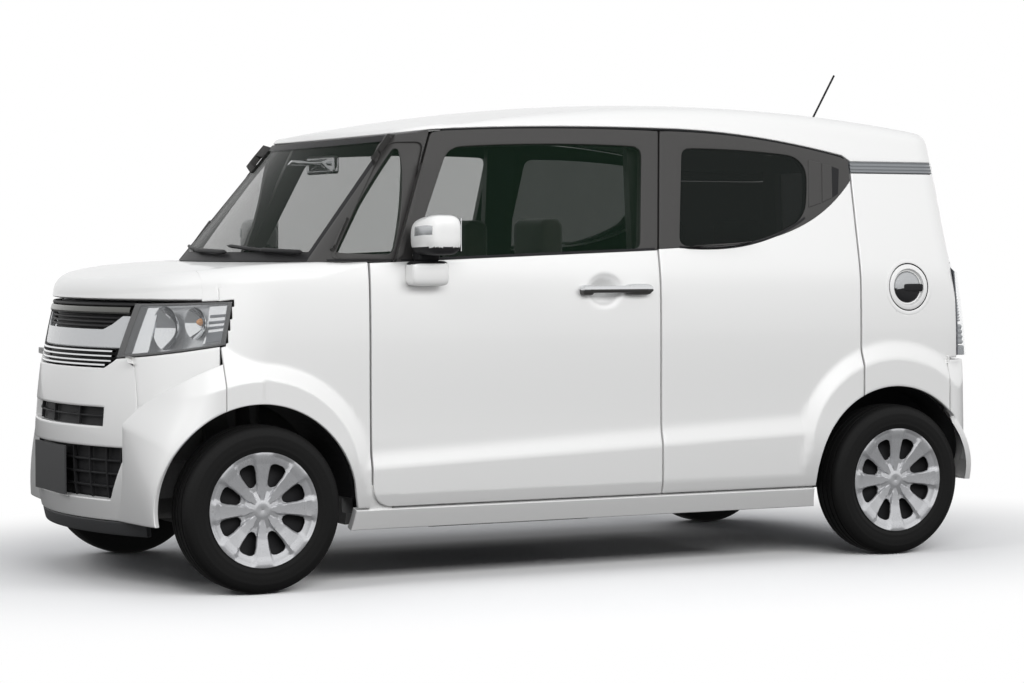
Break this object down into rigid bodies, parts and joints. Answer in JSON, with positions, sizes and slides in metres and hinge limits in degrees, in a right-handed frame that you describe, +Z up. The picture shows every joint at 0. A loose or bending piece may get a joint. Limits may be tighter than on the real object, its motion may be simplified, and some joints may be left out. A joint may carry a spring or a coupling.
{
  "type": "kei car",
  "caption": "White tall-wagon kei car with hinged doors, lifting tailgate and bonnet, fuel flap, steered front wheels and a hollow cabin.",
  "frame": {"origin": "on the ground below the middle of the car", "axes": "+X to the nose, +Y to the car's left, +Z up"},
  "size_m": [3.3939, 1.74, 1.8198],
  "materials": {
    "paint": "pearl white gloss",
    "dark_trim": "dark gloss",
    "black_plastic": "black grained",
    "grey_plastic": "grey ribbed",
    "clear_glass": "pale green tint",
    "dark_glass": "dark tint",
    "lamp_clear": "clear lens",
    "tyre": "rubber",
    "wheel_silver": "silver",
    "grille_silver": "satin silver",
    "steel": "black steel",
    "cast": "cast",
    "floor_paint": "underbody paint",
    "seat_fabric": "dark woven",
    "plate": "plain grey, blank",
    "mirror_glass": "mirror"
  },
  "bodies": {
    "body": {"floor_pan": "floor_paint", "engine": "cast", "fuel_tank": "black_plastic", "exhaust": "steel", "sills": "paint", "front_pillars": "dark_trim", "centre_pillars": "dark_trim", "rear_quarters": "paint", "front_fenders": "paint", "roof": "paint", "windscreen": "clear_glass", "quarter_glass": "clear_glass", "front_bumper": "paint", "bumper_inserts": "black_plastic", "upper_grille": "grille_silver", "front_plate": "plate", "headlamps": "lamp_clear", "tail_lamps": "lamp_clear", "pillar_garnishes": "grey_plastic", "rear_bumper": "paint", "cowl": "black_plastic", "dashboard": "black_plastic", "front_seats": "seat_fabric", "rear_seat": "seat_fabric", "rear_axle": "steel", "front_cross_member": "steel", "arch_liners": "black_plastic", "interior_mirror": "mirror_glass", "antenna": "black_plastic"},
    "bonnet": {"bonnet": "paint"},
    "tailgate": {"tailgate": "paint", "tailgate_glass": "dark_glass"},
    "fuel_flap": {"fuel_flap": "paint"},
    "steering_wheel": {"steering_wheel": "black_plastic"},
    "knuckle_left": {"knuckle_left": "steel"},
    "door_front_left": {"door_front_left": "paint", "window_frame_front_left": "dark_trim", "window_glass_front_left": "clear_glass", "mirror_left": "paint"},
    "wheel_front_left": {"tyre_front_left": "tyre", "wheel_front_left": "wheel_silver"},
    "door_rear_left": {"door_rear_left": "paint", "window_frame_rear_left": "dark_trim", "window_glass_rear_left": "dark_glass"},
    "wheel_rear_left": {"tyre_rear_left": "tyre", "wheel_rear_left": "wheel_silver"},
    "knuckle_right": {"knuckle_right": "steel"},
    "door_front_right": {"door_front_right": "paint", "window_frame_front_right": "dark_trim", "window_glass_front_right": "clear_glass", "mirror_right": "paint"},
    "wheel_front_right": {"tyre_front_right": "tyre", "wheel_front_right": "wheel_silver"},
    "door_rear_right": {"door_rear_right": "paint", "window_frame_rear_right": "dark_trim", "window_glass_rear_right": "dark_glass"},
    "wheel_rear_right": {"tyre_rear_right": "tyre", "wheel_rear_right": "wheel_silver"}
  },
  "joints": [
    {"name": "steer_left", "type": "hinge", "parent": "body", "child": "knuckle_left", "pos_m": [1.1975, 0.59, 0.196], "axis": [0, -0.1437, 0.9896], "range_deg": [-33, 33]},
    {"name": "spin_front_left", "type": "hinge", "parent": "knuckle_left", "child": "wheel_front_left", "pos_m": [1.1975, 0.6525, 0.2785], "axis": [0, 1, 0], "continuous": true},
    {"name": "spin_rear_left", "type": "hinge", "parent": "body", "child": "wheel_rear_left", "pos_m": [-1.3225, 0.6525, 0.2785], "axis": [0, 1, 0], "continuous": true},
    {"name": "swing_front_left", "type": "hinge", "parent": "body", "child": "door_front_left", "pos_m": [0.766, 0.7, 0.66], "axis": [0, 0, -1], "range_deg": [0, 65]},
    {"name": "swing_rear_left", "type": "hinge", "parent": "body", "child": "door_rear_left", "pos_m": [-0.357, 0.7, 0.66], "axis": [0, 0, -1], "range_deg": [0, 65]},
    {"name": "steer_right", "type": "hinge", "parent": "body", "child": "knuckle_right", "pos_m": [1.1975, -0.59, 0.196], "axis": [0, 0.1437, 0.9896], "range_deg": [-33, 33]},
    {"name": "spin_front_right", "type": "hinge", "parent": "knuckle_right", "child": "wheel_front_right", "pos_m": [1.1975, -0.6525, 0.2785], "axis": [0, 1, 0], "continuous": true},
    {"name": "spin_rear_right", "type": "hinge", "parent": "body", "child": "wheel_rear_right", "pos_m": [-1.3225, -0.6525, 0.2785], "axis": [0, 1, 0], "continuous": true},
    {"name": "swing_front_right", "type": "hinge", "parent": "body", "child": "door_front_right", "pos_m": [0.766, -0.7, 0.66], "axis": [0, 0, 1], "range_deg": [0, 65]},
    {"name": "swing_rear_right", "type": "hinge", "parent": "body", "child": "door_rear_right", "pos_m": [-0.357, -0.7, 0.66], "axis": [0, 0, 1], "range_deg": [0, 65]},
    {"name": "bonnet_lift", "type": "hinge", "parent": "body", "child": "bonnet", "pos_m": [1.03, 0, 1.072], "axis": [0, -1, 0], "range_deg": [0, 48]},
    {"name": "tailgate_lift", "type": "hinge", "parent": "body", "child": "tailgate", "pos_m": [-1.57807, 0, 1.484], "axis": [0, 1, 0], "range_deg": [0, 85]},
    {"name": "fuel_flap_swing", "type": "hinge", "parent": "body", "child": "fuel_flap", "pos_m": [-1.3125, 0.703, 0.992], "axis": [0, 0, -1], "range_deg": [0, 85]},
    {"name": "steering_turn", "type": "hinge", "parent": "body", "child": "steering_wheel", "pos_m": [0.48, -0.33, 0.95], "axis": [-0.8601, 0, 0.5101], "range_deg": [-500, 500]}
  ],
  "couplings": [
    {"joint": "steer_right", "follows": "steer_left", "ratio": 1},
    {"joint": "steering_turn", "follows": "steer_left", "ratio": 15}
  ]
}
